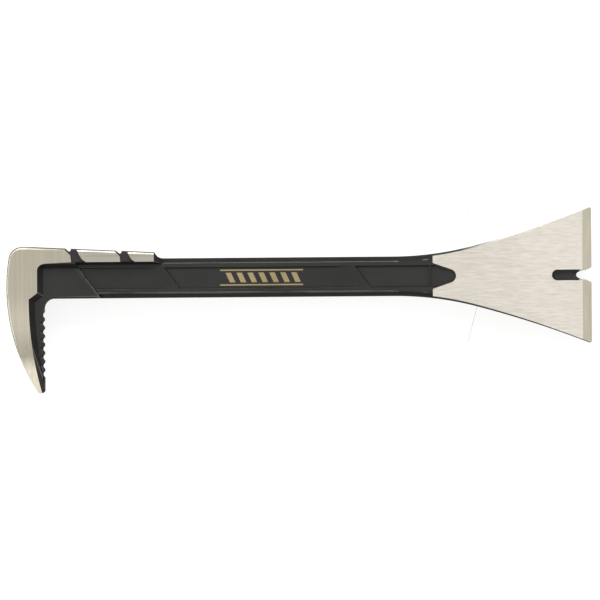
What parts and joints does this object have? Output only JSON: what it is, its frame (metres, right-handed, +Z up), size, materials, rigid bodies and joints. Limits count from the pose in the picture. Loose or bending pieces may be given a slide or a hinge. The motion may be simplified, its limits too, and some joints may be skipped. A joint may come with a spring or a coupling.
{
  "type": "pry bar",
  "caption": "One-piece forged pry bar with a toothed right-angle nail claw, a ribbed shank, grooved striking pads and a splayed blade with a nail slot.",
  "frame": {"origin": "under the middle of the bar's bounding box, in the plane of the hook's lower cheek, on which the bar lies on its side", "axes": "+X from the hook's back to the blade's edge, +Y from the claw's tip towards the striking face, +Z up through the bar's thickness"},
  "size_m": [0.254, 0.079, 0.019],
  "materials": {
    "ground_steel": "ground bright steel with fine straight grinding lines",
    "black_coat": "satin black powder coat over forged steel",
    "tan_print": "flat tan print"
  },
  "bodies": {
    "root": {"hook_spine": "ground_steel", "strike_pad_middle": "ground_steel", "strike_pad_rear": "ground_steel", "blade": "ground_steel", "strike_grooves": "black_coat", "head_shoulder": "black_coat", "elbow": "black_coat", "claw_web": "black_coat", "claw_teeth": "black_coat", "panel_front": "black_coat", "panel_middle": "black_coat", "panel_rear": "black_coat", "top_rail": "black_coat", "bottom_rail": "black_coat", "neck": "black_coat", "blade_side_coat": "black_coat", "slot_coat": "black_coat", "printed_mark": "tan_print"}
  },
  "joints": []
}
